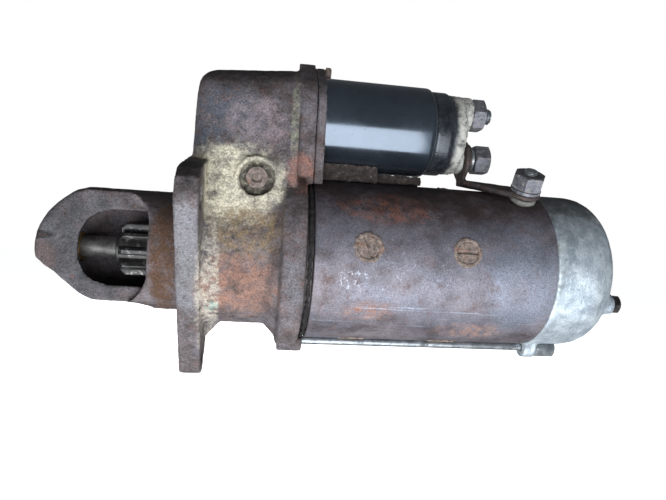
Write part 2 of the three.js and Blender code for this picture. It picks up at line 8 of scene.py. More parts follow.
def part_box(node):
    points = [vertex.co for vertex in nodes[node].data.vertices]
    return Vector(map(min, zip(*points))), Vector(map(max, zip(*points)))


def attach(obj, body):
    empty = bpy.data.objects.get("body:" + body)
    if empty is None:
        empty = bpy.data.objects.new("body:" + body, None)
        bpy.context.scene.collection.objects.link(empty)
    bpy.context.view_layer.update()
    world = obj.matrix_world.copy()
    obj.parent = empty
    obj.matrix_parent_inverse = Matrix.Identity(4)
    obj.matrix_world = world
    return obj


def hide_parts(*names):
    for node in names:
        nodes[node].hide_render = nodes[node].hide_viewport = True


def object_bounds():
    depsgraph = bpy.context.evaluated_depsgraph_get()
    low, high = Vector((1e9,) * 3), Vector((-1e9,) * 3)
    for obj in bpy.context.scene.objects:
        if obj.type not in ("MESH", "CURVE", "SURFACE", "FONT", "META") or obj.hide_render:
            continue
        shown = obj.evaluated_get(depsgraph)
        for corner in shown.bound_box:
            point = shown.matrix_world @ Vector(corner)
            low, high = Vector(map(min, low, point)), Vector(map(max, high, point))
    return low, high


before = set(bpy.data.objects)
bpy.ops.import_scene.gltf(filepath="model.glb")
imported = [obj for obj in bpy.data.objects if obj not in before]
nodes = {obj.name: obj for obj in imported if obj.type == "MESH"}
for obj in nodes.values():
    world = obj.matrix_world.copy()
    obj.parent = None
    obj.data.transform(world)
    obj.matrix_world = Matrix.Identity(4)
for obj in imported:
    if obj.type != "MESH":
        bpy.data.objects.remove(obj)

# Starter motor with a piggyback solenoid. Sizes are in millimetres in this script, +X from the
# nose to the end cover, +Z from the shaft to the solenoid; meshes are written in metres.

cadLow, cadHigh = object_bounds()
collection = bpy.context.scene.collection


def toLinear(hexColour):  # sRGB hex text to linear red, green, blue, alpha
    parts = [int(hexColour[i:i + 2], 16) / 255 for i in (1, 3, 5)]
    return tuple(p / 12.92 if p <= 0.04045 else ((p + 0.055) / 1.055) ** 2.4 for p in parts) + (1.0,)


def span(node):  # a CAD node's box in millimetres
    low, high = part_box(node)
    return np.array(low) * 1000, np.array(high) * 1000


# Driving sizes, read from the frame
yokeLow, yokeHigh = span("yoke")
plungerLow, plungerHigh = span("plunger")
solenoidZ = (plungerLow[2] + plungerHigh[2]) / 2
yokeR = (yokeHigh[1] - yokeLow[1]) / 2
print("frame: solenoid axis", round(float(solenoidZ), 2), "yoke radius", round(float(yokeR), 2))


view = {
    "place": (50.91, -401.88, -0.40),
    "right": (0.98760863, -0.14795443, 0.05233248),
    "down": (0.05761555, 0.03164703, -0.99783712),
    "forward": (0.14597825, 0.98848771, 0.03977935),
    "lens": 29.54, "shift": (-0.0117, -0.0182),
}
eye = bpy.data.objects.new("camera", bpy.data.cameras.new("camera"))
collection.objects.link(eye)
right, down, forward = (Vector(view[key]).normalized() for key in ("right", "down", "forward"))
turn = Matrix((right, -down, -forward)).transposed()
eye.matrix_world = Matrix.Translation(Vector(view["place"]) / 1000) @ turn.to_4x4()
eye.data.lens, eye.data.sensor_width = view["lens"], 36
eye.data.shift_x, eye.data.shift_y = view["shift"]
eye.data.clip_start, eye.data.clip_end = 0.01, 50
bpy.context.scene.camera = eye
bpy.context.scene.view_settings.view_transform = "Standard"


def softbox(name, place, aim, size, power, colour="#ffffff", mirrored=True):
    lamp = bpy.data.lights.new(name, "AREA")
    lamp.shape, lamp.size, lamp.size_y = "RECTANGLE", size[0] / 1000, size[1] / 1000
    lamp.energy, lamp.color = power, toLinear(colour)[:3]
    box = bpy.data.objects.new(name, lamp)
    collection.objects.link(box)
    place, aim = Vector(place) / 1000, Vector(aim) / 1000
    box.rotation_euler = (aim - place).to_track_quat("-Z", "Y").to_euler()
    box.location = place
    box.visible_glossy = mirrored  # a fill that isn't mirrored leaves no band on the gloss paint


softbox("frontWindow", (60, -850, -600), (110, 0, 10), (1000, 1200), 25, "#edf3fb")  # wide, cool, low
softbox("rearFill", (200, 800, 250), (110, 0, 20), (900, 700), 9, mirrored=False)
softbox("topFill", (150, 150, 900), (110, 0, 0), (600, 600), 2.5, mirrored=False)


def addNode(tree, kind, settings=None, inputs=None, output=0):
    # One node: its settings, then its inputs, each a constant or another node's output. One of
    # its outputs is given back, by place or by name.
    node = tree.nodes.new(kind)
    for key, value in (settings or {}).items():
        setattr(node, key, value)
    for key, value in (inputs or {}).items():
        if isinstance(value, bpy.types.NodeSocket):
            tree.links.new(value, node.inputs[key])
        else:
            node.inputs[key].default_value = value
    return node.outputs[output] if len(node.outputs) else None


world = bpy.data.worlds.new("studio")
bpy.context.scene.world = world
world.use_nodes = True
world.node_tree.nodes.clear()
toEye = addNode(world.node_tree, "ShaderNodeLightPath", output="Is Camera Ray")
dim = addNode(world.node_tree, "ShaderNodeBackground", {}, {"Color": toLinear("#dfe6ee"), "Strength": 0.13})
white = addNode(world.node_tree, "ShaderNodeBackground", {}, {"Color": (1, 1, 1, 1), "Strength": 1.0})
both = addNode(world.node_tree, "ShaderNodeMixShader", {}, {0: toEye, 1: dim, 2: white})
addNode(world.node_tree, "ShaderNodeOutputWorld", {}, {0: both})


def wear(colour, size, edge, strength=1.0, **more):
    # One layer of a finish. It shows where a noise of `size` mm passes an edge, inside a zone if
    # it has one: an ellipsoid of centre and radii in mm, with a ragged and soft border.
    return {"colour": colour, "size": size, "edge": edge, "strength": strength, **more}


def skin(colours, size, rough, metal, grit, *layers, **more):
    # A finish: two colours in clouds of `size` mm, roughness, metallic, and grit as its size in mm,
    # depth in mm and change of tone. Grit is drawn near a millimetre, coarser than it is, to show.
    return {"colours": colours, "size": size, "rough": rough, "metal": metal, "grit": grit,
            "layers": layers, **more}


def weathered(name, spec):  # clouds of two colours, layers of wear, painted shade on upward faces, then grit
    material = bpy.data.materials.new(name)
    material.use_nodes = True
    tree = material.node_tree
    tree.nodes.clear()
    calc, vector, mix = "ShaderNodeMath", "ShaderNodeVectorMath", "ShaderNodeMix"
    noise, fade = "ShaderNodeTexNoise", "ShaderNodeMapRange"
    plus, minus, times, over = ({"operation": word} for word in ("ADD", "SUBTRACT", "MULTIPLY", "DIVIDE"))
    gentle, ofColour, ofNumber = ({key: word} for key, word in (
        ("interpolation_type", "SMOOTHSTEP"), ("data_type", "RGBA"), ("data_type", "FLOAT")))
    place = addNode(tree, "ShaderNodeTexCoord", output="Object")
    mm = addNode(tree, "ShaderNodeMapping", {}, {0: place, "Scale": (1000, 1000, 1000)})
    cloudy = {"Vector": mm, "Detail": 8.0, "Roughness": 0.68}

    clouds = addNode(tree, noise, {}, {**cloudy, "Scale": 1 / spec["size"]})
    broad = addNode(tree, fade, gentle, {0: clouds, 1: 0.3, 2: 0.7})
    dark, light = (toLinear(text) for text in spec["colours"])
    colour = addNode(tree, mix, ofColour, {0: broad, 6: dark, 7: light}, 2)
    rough, spread = spec["rough"], 0.06
    smoother, rougher = max(0.05, rough - spread), min(1.0, rough + spread)
    roughness = addNode(tree, mix, ofNumber, {0: broad, 2: smoother, 3: rougher})
    metallic, height = spec["metal"], None
    for layer in spec["layers"]:
        moved = mm
        if "stretch" in layer:
            moved = addNode(tree, "ShaderNodeMapping", {}, {0: mm, "Scale": layer["stretch"]})
        patches = addNode(tree, noise, {}, {**cloudy, "Vector": moved, "Scale": 1 / layer["size"]})
        mask = addNode(tree, fade, gentle, {0: patches, 1: layer["edge"][0], 2: layer["edge"][1]})
        if "zone" in layer:
            centre, radii = layer["zone"]
            moved = addNode(tree, vector, minus, {0: mm, 1: centre})
            scaled = addNode(tree, vector, over, {0: moved, 1: radii})
            away = addNode(tree, vector, {"operation": "LENGTH"}, {0: scaled}, 1)
            wander = addNode(tree, noise, {}, {**cloudy, "Scale": 1 / 9})
            wander = addNode(tree, calc, minus, {0: wander, 1: 0.5})
            wander = addNode(tree, calc, times, {0: wander, 1: layer.get("ragged", 0.7)})
            away = addNode(tree, calc, plus, {0: away, 1: wander})
            soft = layer.get("soft", 0.35)
            within = addNode(tree, fade, gentle, {0: away, 1: 1 - soft, 2: 1, 3: 1, 4: 0})
            mask = addNode(tree, calc, times, {0: mask, 1: within})
        mask = addNode(tree, calc, times, {0: mask, 1: layer["strength"]})
        colour = addNode(tree, mix, ofColour, {0: mask, 6: colour, 7: toLinear(layer["colour"])}, 2)
        if "rough" in layer:
            roughness = addNode(tree, mix, ofNumber, {0: mask, 2: roughness, 3: layer["rough"]})
        if "metal" in layer:
            metallic = addNode(tree, mix, ofNumber, {0: mask, 2: metallic, 3: layer["metal"]})
        if "depth" in layer:  # mm of build-up or loss
            raised = addNode(tree, calc, times, {0: mask, 1: layer["depth"]})
            height = raised if height is None else addNode(tree, calc, plus, {0: height, 1: raised})
    if "topDirt" in spec:  # painted shade: the skin is darkened where it faces up, inside ragged edges
        shadeColour, amount = spec["topDirt"]
        normal = addNode(tree, "ShaderNodeNewGeometry", output="Normal")
        upward = addNode(tree, "ShaderNodeSeparateXYZ", {}, {0: normal}, 2)
        wander = addNode(tree, noise, {}, {**cloudy, "Scale": 1 / 7})
        wander = addNode(tree, calc, minus, {0: wander, 1: 0.5})
        wander = addNode(tree, calc, times, {0: wander, 1: 0.7})
        facing = addNode(tree, calc, plus, {0: upward, 1: wander})
        mask = addNode(tree, fade, gentle, {0: facing, 1: 0.3, 2: 1.0})
        mask = addNode(tree, calc, times, {0: mask, 1: amount})
        colour = addNode(tree, mix, ofColour, {0: mask, 6: colour, 7: toLinear(shadeColour)}, 2)
        roughness = addNode(tree, mix, ofNumber, {0: mask, 2: roughness, 3: 0.8})
    gritSize, gritDepth, gritTone = spec["grit"]
    grain = addNode(tree, noise, {}, {**cloudy, "Detail": 4.0, "Scale": 1 / gritSize})
    tone = addNode(tree, fade, {"interpolation_type": "LINEAR"},
                   {0: grain, 1: 0.25, 2: 0.75, 3: 1 - gritTone, 4: 1 + gritTone})
    colour = addNode(tree, vector, {"operation": "SCALE"}, {0: colour, "Scale": tone})
    fine = addNode(tree, calc, times, {0: grain, 1: gritDepth})
    height = fine if height is None else addNode(tree, calc, plus, {0: height, 1: fine})
    bump = addNode(tree, "ShaderNodeBump", {},
                   {"Strength": spec.get("bump", 0.8), "Distance": 0.001, "Height": height})
    shader = addNode(tree, "ShaderNodeBsdfPrincipled", {},
                     {"Base Color": colour, "Roughness": roughness, "Metallic": metallic, "Normal": bump,
                      "Coat Weight": spec.get("coat", 0.0), "Coat Roughness": 0.12})
    addNode(tree, "ShaderNodeOutputMaterial", {}, {0: shader})
    return material


dusty, rusty = {"rough": 0.95, "metal": 0.0}, {"rough": 0.9, "metal": 0.0}
finishes = {
    # Sand-cast grey iron, never painted well: brown-grey skin, caked road dirt, fresh rust below, and painted
    # shade on the tops, along the flange's top edge and in the pivot boss's recess
    "castIron": skin(
        ("#3b3432", "#686061"), 14, 0.7, 0.2, (1.2, 0.55, 0.7),
        wear("#737178", 20, (0.42, 0.68), 0.55, rough=0.55),
        wear("#6b4f49", 11, (0.46, 0.75), 0.6, rough=0.85),
        wear("#747477", 16, (0.2, 0.6), 0.75, zone=((6, -60, -15), (13, 40, 62)), rough=0.5),
        wear("#3b3d40", 12, (0.2, 0.6), 0.75, zone=((-75, -20, 0), (52, 26, 48)), rough=0.55),
        wear("#5c4a47", 8, (0.2, 0.6), 0.7, zone=((-92, -20, -8), (14, 22, 14))),
        wear("#232120", 8, (0.1, 0.4), 0.85, zone=((-94, -18, 6), (12, 12, 3.5))),
        wear("#4c525d", 6, (0.4, 0.62), 0.85, zone=((22, -30, 88), (34, 40, 30))),
        wear("#8b7f83", 9, (0.34, 0.62), 0.75, zone=((44, -40, 90), (26, 30, 22))),
        wear("#8f917c", 4, (0.36, 0.66), 0.7, zone=((70, -30, 92), (3.5, 50, 40)), ragged=0.9),
        wear("#c8c1ab", 7, (0.22, 0.6), zone=((30, -34, 44), (45, 34, 35)), soft=0.45, ragged=1.0, **dusty,
             depth=0.5),
        wear("#857258", 6, (0.32, 0.62), 0.85, zone=((43, -45, 14), (32, 30, 22)), soft=0.5, ragged=1.0,
             **dusty, depth=0.3),
        wear("#86614f", 7, (0.26, 0.66), 0.8, zone=((38, -45, -22), (34, 40, 30)), soft=0.5, ragged=1.0,
             **rusty),
        wear("#a8a193", 4, (0.36, 0.6), 0.8, zone=((19, -30, -20), (9, 60, 62)), ragged=1.0, **dusty,
             depth=0.3),
        wear("#74988f", 3, (0.4, 0.62), 0.7, zone=((22, -40, -36), (6, 14, 5)), ragged=1.2),
        wear("#4a301b", 8, (0.2, 0.6), 0.9, zone=((-10, -20, -2), (12, 50, 50)), **rusty),
        wear("#94695c", 6, (0.3, 0.6), 0.8, zone=((76, -45, 56), (12, 40, 18))),
        # painted shadow along the top edge of the flange's near ear
        wear("#1c1816", 6, (0.24, 0.6), 0.8, zone=((4, -62, 44), (10, 26, 20)), ragged=0.8),
        # painted shade in the pivot boss's recess
        wear("#1b1715", 3, (0.2, 0.55), 0.85, zone=((46.7, -38, 50.5), (14.5, 12, 14.5)), ragged=0.3),
        # painted shade over the top of the dome under the solenoid
        wear("#26201e", 7, (0.24, 0.6), 0.75, zone=((30, -30, 128), (42, 40, 16)), ragged=0.8),
        wear("#1d1715", 3.2, (0.55, 0.74), 0.6, depth=-0.4),
        wear("#b9b3a4", 2.2, (0.62, 0.76), 0.4, **dusty, depth=0.2),
        wear("#7d4a32", 4.5, (0.6, 0.74), 0.6, **dusty),
        # painted shade on the faces that look up
        topDirt=("#1d1a19", 0.9)),
    # Rolled steel tube with thin worn black paint, browned by rust, rubbed bright along its length; painted
    # shade over the top
    "wornPaint": skin(
        ("#4f4647", "#7d767b"), 20, 0.46, 0.45, (1.0, 0.22, 0.55),
        wear("#767b88", 34, (0.36, 0.66), 0.5, stretch=(0.5, 1, 1), rough=0.36, metal=0.6),
        wear("#8d95a3", 18, (0.2, 0.6), 0.6, zone=((228, -30, -8), (34, 60, 44)), rough=0.34, metal=0.7),
        # painted shade: darker brown over the top of the tube
        wear("#3f2f2c", 14, (0.2, 0.6), 0.8, zone=((160, -18, 52), (120, 60, 40)), rough=0.75),
        wear("#8a523a", 8, (0.36, 0.66), 0.7, zone=((134, -46, 36), (40, 30, 14)), soft=0.5, ragged=1.1,
             **rusty),
        wear("#8c6049", 6, (0.36, 0.7), 0.8, zone=((124, -44, -33), (26, 24, 9)), soft=0.6, ragged=1.1,
             **rusty),
        wear("#84604a", 6, (0.36, 0.7), 0.8, zone=((200, -38, -46), (34, 24, 9)), soft=0.6, ragged=1.1,
             **rusty),
        wear("#5e3f36", 9, (0.5, 0.76), 0.6, rough=0.85, metal=0.1),
        wear("#b4bac6", 3, (0.56, 0.66), 0.55, zone=((170, -40, -36), (110, 40, 12)), stretch=(0.04, 1, 1),
             rough=0.32, metal=0.85),
        wear("#c3c8d4", 3.5, (0.54, 0.66), 0.8, zone=((112, -54, -13), (12, 12, 8)), ragged=1.0, rough=0.4,
             metal=0.6),
        wear("#a9b0c0", 2.5, (0.6, 0.7), 0.5, zone=((145, -54, -4), (60, 14, 26)), rough=0.4, metal=0.7),
        wear("#241c1b", 2.4, (0.6, 0.74), 0.5, rough=0.8, depth=-0.1),
        # painted shade on the faces that look up
        topDirt=("#2c2120", 0.75)),
    # Black stoving enamel, smooth enough to mirror, with dust and small chips
    "glossEnamel": skin(
        ("#424a53", "#4d5660"), 30, 0.2, 0.8, (0.6, 0.02, 0.08),
        wear("#1a1d21", 3.2, (0.62, 0.7), 0.6, rough=0.5),
        wear("#4a3f38", 4, (0.4, 0.6), 0.7, zone=((88, 0, 99), (5, 60, 60)), rough=0.8, metal=0.1),
        wear("#514a45", 4, (0.56, 0.7), 0.5, zone=((115, 0, 131), (60, 40, 14)), rough=0.7, metal=0.1),
        wear("#d5dbe0", 9, (0.2, 0.5), 0.6, zone=((171, 0, 99), (1.4, 60, 60)), ragged=0.05, rough=0.4),
        bump=0.4, coat=0.8),
    # Sand-cast aluminium alloy gone chalky: bright skin, grey smudges, painted shade over the top
    "castAluminium": skin(
        ("#b0bcc5", "#dfe8ec"), 10, 0.42, 0.75, (1.0, 0.2, 0.3),
        wear("#77828a", 9, (0.46, 0.7), 0.6, stretch=(1, 0.3, 0.3), rough=0.5),
        wear("#e6eef2", 6, (0.54, 0.7), 0.6, stretch=(1, 0.25, 0.25), rough=0.35),
        # painted shade: darker and duller over the top of the cover
        wear("#4a4c4d", 12, (0.2, 0.6), 0.85, zone=((272, -8, 54), (60, 62, 32)), rough=0.75, metal=0.2),
        wear("#5f5f57", 4, (0.36, 0.66), 0.75, zone=((254, -20, 12), (6, 80, 56)), ragged=1.0, rough=0.85,
             metal=0.0),
        wear("#4b4d50", 4, (0.4, 0.66), 0.8, zone=((262, 0, -57), (26, 34, 10)), rough=0.8, metal=0.1),
        wear("#3b3d3e", 2.0, (0.64, 0.74), 0.6, rough=0.8, metal=0.1),
        # painted shade on the faces that look up
        topDirt=("#2e2f30", 0.85)),
    # Steel fasteners under baked-on mud
    "muddySteel": skin(
        ("#574c47", "#8f8077"), 3, 0.85, 0.1, (0.9, 0.35, 0.35),
        wear("#332c29", 2.5, (0.5, 0.68), 0.7, depth=-0.2),
        wear("#87604c", 4, (0.5, 0.7), 0.6)),
    # Terminal nuts: plated once, now grey with oil film and dust in the corners
    "grimySteel": skin(
        ("#5a5a5e", "#84848a"), 4, 0.5, 0.6, (0.8, 0.16, 0.25),
        wear("#8e8779", 3.5, (0.52, 0.68), 0.75, **dusty, depth=0.2),
        wear("#2a2624", 3, (0.54, 0.68), 0.75, rough=0.8, metal=0.1),
        wear("#6d4c40", 4, (0.56, 0.7), 0.6, **rusty),
        # painted shade on the faces that look up
        topDirt=("#2a2624", 0.6)),
    # Phenolic moulding: black and smooth round its band, its end lost under grey-green dust
    "dustyPhenolic": skin(
        ("#1d2024", "#3a3e43"), 9, 0.24, 0.4, (1.0, 0.25, 0.2),
        wear("#a4a39b", 5, (0.2, 0.55), zone=((203, 0, 99), (21, 60, 60)), soft=0.2, ragged=0.35, **dusty,
             depth=0.4),
        wear("#c4c1b6", 3, (0.5, 0.68), 0.7, zone=((203, 0, 99), (18, 60, 60)), **dusty),
        wear("#3d3d3d", 4, (0.52, 0.66), 0.75, zone=((203, 0, 99), (21, 60, 60)), **rusty),
        wear("#6b6862", 2.4, (0.62, 0.74), 0.6, rough=0.8, metal=0.0),
        coat=0.4),
    "greyPhenolic": skin(  # the field terminal's insulator, dusty all over
        ("#4a4a49", "#7a7871"), 4, 0.85, 0.0, (0.9, 0.3, 0.3),
        wear("#232323", 3, (0.5, 0.68), 0.75)),
    # Case-hardened steel, dark with grease, bright where the teeth run
    "greasySteel": skin(
        ("#2d2c2b", "#4c4a48"), 6, 0.38, 0.8, (0.7, 0.06, 0.2),
        wear("#a3a09c", 5, (0.52, 0.7), 0.65, rough=0.3),
        wear("#171513", 3, (0.54, 0.7), 0.7, rough=0.7, metal=0.2)),
    "turnedSteel": skin(  # lathe-turned shaft, dull with age
        ("#565452", "#7d7a76"), 7, 0.4, 0.8, (0.8, 0.08, 0.2),
        wear("#2a2826", 4, (0.52, 0.7), 0.6, rough=0.65)),
    "zincPlate": skin(  # bright zinc on rods and studs
        ("#74787b", "#a6aaac"), 8, 0.36, 0.85, (0.7, 0.08, 0.2),
        wear("#3d3c3c", 5, (0.5, 0.68), 0.7, rough=0.7, metal=0.2),
        wear("#eef0f0", 6, (0.56, 0.68), 0.5, stretch=(0.2, 1, 1))),
    "dirtyCopper": skin(  # tarnished copper strip and washers, nearly black with oil
        ("#3f3836", "#5b4b45"), 5, 0.6, 0.5, (0.8, 0.15, 0.25),
        wear("#333235", 6, (0.4, 0.62), 0.8, rough=0.85, metal=0.1),
        wear("#7d4c3c", 4, (0.56, 0.7), 0.7, rough=0.6),
        wear("#8f8678", 3, (0.6, 0.72), 0.5, **rusty),
        # painted shade on the faces that look up
        topDirt=("#2a2728", 0.7)),
    "cleanCopper": skin(  # windings and commutator, out of the weather
        ("#8a5036", "#b06a48"), 8, 0.4, 0.9, (0.5, 0.06, 0.15),
        wear("#5a3425", 3, (0.52, 0.68), 0.6)),
    "oiledBronze": skin(
        ("#7a5a30", "#9c7a45"), 5, 0.45, 0.85, (0.5, 0.08, 0.2),
        wear("#3f2f1c", 2, (0.54, 0.68), 0.6)),
    "softIron": skin(
        ("#3b3937", "#55524f"), 8, 0.55, 0.7, (0.6, 0.08, 0.2),
        wear("#6b4a38", 4, (0.54, 0.7), 0.6, rough=0.85)),
    "lacqueredTape": skin(  # cotton tape soaked in varnish, woven at about 0.8 mm
        ("#4d2216", "#6d3420"), 6, 0.42, 0.0, (0.8, 0.3, 0.2),
        wear("#2c1610", 3, (0.5, 0.66), 0.6)),
    "brushCarbon": skin(
        ("#1c1d20", "#2c2d31"), 4, 0.6, 0.2, (0.4, 0.05, 0.2),
        wear("#6d4632", 0.9, (0.6, 0.7), 0.6, metal=0.6)),
    "mudCake": skin(  # rubber boot lost under packed mud and oil
        ("#292422", "#4a403a"), 5, 0.95, 0.0, (1.0, 0.6, 0.4),
        wear("#8a837a", 3, (0.56, 0.68), 0.7),
        wear("#171413", 4, (0.48, 0.64), 0.7)),
    "blackGrime": skin(  # oil-soaked crust in the joint between housing and tube
        ("#0c0a0a", "#221d1c"), 3, 0.85, 0.0, (1.0, 0.6, 0.4),
        wear("#574b48", 2.4, (0.58, 0.7), 0.7)),
}
paint = {name: weathered(name, spec) for name, spec in finishes.items()}
print("materials:", len(paint))


def asMesh(name, points, faces):  # points in mm
    mesh = bpy.data.meshes.new(name)
    mesh.from_pydata((np.asarray(points) / 1000).tolist(), [], [list(map(int, f)) for f in faces])
    mesh.update()
    return mesh


def cleaned(mesh, smooth=None):
    # Welds doubled points and turns faces outward; edges flatter than `smooth` degrees shade round.
    solid = bmesh.new()
    solid.from_mesh(mesh)
    bmesh.ops.remove_doubles(solid, verts=solid.verts, dist=1e-6)
    bmesh.ops.recalc_face_normals(solid, faces=solid.faces)
    if smooth is not None:
        for face in solid.faces:
            face.smooth = True
        for edge in solid.edges:
            edge.smooth = len(edge.link_faces) == 2 and edge.calc_face_angle(0) < math.radians(smooth)
    solid.to_mesh(mesh)
    solid.free()


def meshPiece(name, points, faces, finish, body, replaced=(), slot=None, smooth=40):
    return finished(name, asMesh(name, points, faces), finish, body, replaced, smooth)


def finished(name, mesh, finish, body, replaced=(), smooth=40):
    mesh.materials.clear()
    mesh.materials.append(paint[finish])
    piece = bpy.data.objects.new(name, mesh)
    collection.objects.link(piece)
    cleaned(mesh, smooth)
    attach(piece, body)
    if replaced:
        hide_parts(*replaced)
    return piece


def grid(rows, columns, closedRows=False):  # quads of a grid whose columns wrap round
    i, j = np.meshgrid(np.arange(rows if closedRows else rows - 1), np.arange(columns), indexing="ij")
    k, m = (i + 1) % rows, (j + 1) % columns
    return np.stack([i * columns + j, i * columns + m, k * columns + m, k * columns + j], -1).reshape(-1, 4)


def smoothProfile(corners, fillet, steps=5):
    # Each inner corner of a [along, radius] profile becomes a quadratic curve that leaves and
    # meets its sides up to `fillet` mm away.
    points = [corners[0]]
    for before, corner, after in zip(corners, corners[1:], corners[2:]):
        before, corner, after = (np.array(p, float) for p in (before, corner, after))
        a, b = before - corner, after - corner
        a *= min(fillet, np.linalg.norm(a) / 2.1) / np.linalg.norm(a)
        b *= min(fillet, np.linalg.norm(b) / 2.1) / np.linalg.norm(b)
        for t in np.linspace(0, 1, steps):
            points.append(tuple(corner + a * (1 - t) ** 2 + b * t ** 2))
    return points + [corners[-1]]


def frameOf(axis):  # two directions across an axis
    axis = np.array(axis, float) / np.linalg.norm(axis)
    side = np.cross((0, 0, 1), axis) if abs(axis[2]) < 0.9 else np.cross((1, 0, 0), axis)
    side /= np.linalg.norm(side)
    return axis, side, np.cross(axis, side)


def turned(profile, origin=(0, 0, 0), axis=(1, 0, 0), around=128, radius=None):
    # point(s, a) = origin + axis along(s) + radius(s, a) (side cos a + other sin a); radius may
    # shape the section with a function of the profile's radius, distance along and angle.
    along, r = np.array(profile, float).T
    a = np.linspace(0, 2 * np.pi, around, endpoint=False)
    axis, side, other = frameOf(axis)
    grown = r[:, None] + 0 * a[None, :]
    if radius:
        grown = radius(grown, along[:, None] + 0 * a[None, :], a[None, :] + 0 * grown)
    spokes = side * np.cos(a)[:, None] + other * np.sin(a)[:, None]
    points = np.array(origin, float) + along[:, None, None] * axis + grown[:, :, None] * spokes[None]
    closed = profile[0] == profile[-1] or (r[0] > 0.01 and r[-1] > 0.01)
    rows = len(profile)
    return points.reshape(-1, 3), grid(rows, around, closed)


def joined(parts):  # several point and face lists as one
    points, faces, start = [], [], 0
    for p, f in parts:
        points.append(p)
        faces.extend([[int(i) + start for i in face] for face in f])
        start += len(p)
    return np.concatenate(points), faces


def lumps(points, size, seed, waves=26):
    # A smooth field in -1..1: the sum of sine waves with random directions and lengths near
    # `size` mm, scaled by the square root of their number.
    draw = np.random.default_rng(seed)
    way = draw.normal(size=(waves, 3))
    way /= np.linalg.norm(way, axis=1)[:, None]
    way *= 2 * np.pi / (size * draw.uniform(0.7, 1.8, waves))[:, None]
    total = np.zeros(len(points))
    for k, start in zip(way, draw.uniform(0, 6.28, waves)):
        total += np.sin(points @ k + start)
    return total / math.sqrt(waves)


def subtracted(target, cutters):  # a boolean cut, applied with the other modifiers
    tool = bpy.data.objects.new("cutter", cutters)
    collection.objects.link(tool)
    less = target.modifiers.new("less", "BOOLEAN")
    less.operation, less.solver, less.object = "DIFFERENCE", "EXACT", tool
    return tool


def cast(name, mesh, voxel, smoothing, finish, body, replaced=(), shape=None, dents=(),
         cutters=None):
    # Fuses a closed mesh, or several that overlap, into one skin of even small faces, rounds its
    # edges, lets `shape` move its points, and adds dents along the normals: size and depth in
    # mm, a seed, and perhaps a zone's centre and radii in mm.
    piece = bpy.data.objects.new(name + "Source", mesh)
    collection.objects.link(piece)
    cleaned(mesh)
    tool = subtracted(piece, cutters) if cutters else None
    fuse = piece.modifiers.new("fuse", "REMESH")
    fuse.mode, fuse.voxel_size = "VOXEL", voxel / 1000
    relax = piece.modifiers.new("relax", "SMOOTH")
    relax.factor, relax.iterations = 0.5, smoothing
    result = bpy.data.meshes.new_from_object(piece.evaluated_get(bpy.context.evaluated_depsgraph_get()))
    for spent in filter(None, (piece, tool)):
        bpy.data.objects.remove(spent)
    count = len(result.vertices)
    flat = np.empty(count * 3, np.float32)
    result.vertices.foreach_get("co", flat)
    points = flat.reshape(-1, 3).astype(float) * 1000
    normals = np.empty(count * 3, np.float32)
    result.vertex_normals.foreach_get("vector", normals)
    normals = normals.reshape(-1, 3)
    if shape:
        points = shape(points)
    for size, depth, seed, *zone in dents:
        amount = depth * lumps(points, size, seed)
        if zone:
            away = np.linalg.norm((points - zone[0]) / zone[1], axis=1)
            amount = np.maximum(amount, 0) * np.clip(3 - 3 * away, 0, 1)
        points += normals * amount[:, None]
    points = np.clip(points, np.array(cadLow) * 1000, np.array(cadHigh) * 1000)
    result.vertices.foreach_set("co", (points / 1000).astype(np.float32).ravel())
    result.update()
    print(name, "faces", len(result.polygons))
    return finished(name, result, finish, body, replaced, 60)


def copied(*names):  # CAD nodes' meshes, joined, as a new mesh
    solid = bmesh.new()
    for node in names:
        solid.from_mesh(nodes[node].data)
    mesh = bpy.data.meshes.new(names[0] + "Copy")
    solid.to_mesh(mesh)
    solid.free()
    return mesh


def towardsRound(points, rings, centreZ=0.0):
    # The CAD's round sides are flats. Points near a ring (radius, flats round it, first and last
    # X) are bowed out along the radius from the flat to the true circle.
    x, y, z = points.T
    z = z - centreZ
    r, a = np.hypot(y, z), np.arctan2(y, z)
    grow = np.ones(len(points))
    for radius, flats, first, last in rings:
        flat = 2 * np.pi / flats
        bow = np.cos(np.mod(a, flat) - flat / 2) / np.cos(flat / 2)
        near = (np.abs(r - radius) < 0.7) & (x > first) & (x < last)
        grow = np.where(near, bow, grow)
    return np.stack([x, y * grow, z * grow + centreZ], -1)


def lowest(node):  # the node's first X
    return float(span(node)[0][0])


def highest(node):  # the node's last X
    return float(span(node)[1][0])


# Drive housing: a sand casting, so every edge is round and the skin is uneven, with dirt caked
# on the neck round the pivot boss
housing = {"voxel": 1.3, "relax": 5,
           "rings": [(41.1, 40, -66, -21), (41.25, 40, -20, -1), (48.7, 40, 15, 56), (62.5, 40, 66, 80)]}
cast("driveHousing", copied("drive_housing"), housing["voxel"], housing["relax"], "castIron", "frame",
     ["drive_housing"], lambda p: towardsRound(p, housing["rings"]),
     dents=((16, 0.10, 1), (6, 0.08, 2), (3.5, 0.45, 3, (34, -36, 42), (38, 26, 34)),
            (4, 0.3, 4, (40, -42, -10), (30, 26, 30))))

# End cover: cast aluminium, turned at the rim
cover = {"voxel": 1.15, "relax": 4, "rings": [(57, 40, 253, 284)]}
cast("endCover", copied("end_cover"), cover["voxel"], cover["relax"], "castAluminium", "frame",
     ["end_cover"], lambda p: towardsRound(p, cover["rings"]), dents=((14, 0.05, 5), (5, 0.03, 6)))
print("castings made")


def dense(profile, step):  # extra points on a profile so that none are further apart than step
    points = [profile[0]]
    for start, end in zip(profile, profile[1:]):
        parts = max(1, math.ceil(math.dist(start, end) / step))
        points += [(start[0] + (end[0] - start[0]) * k / parts, start[1] + (end[1] - start[1]) * k / parts)
                   for k in range(1, parts + 1)]
    return points


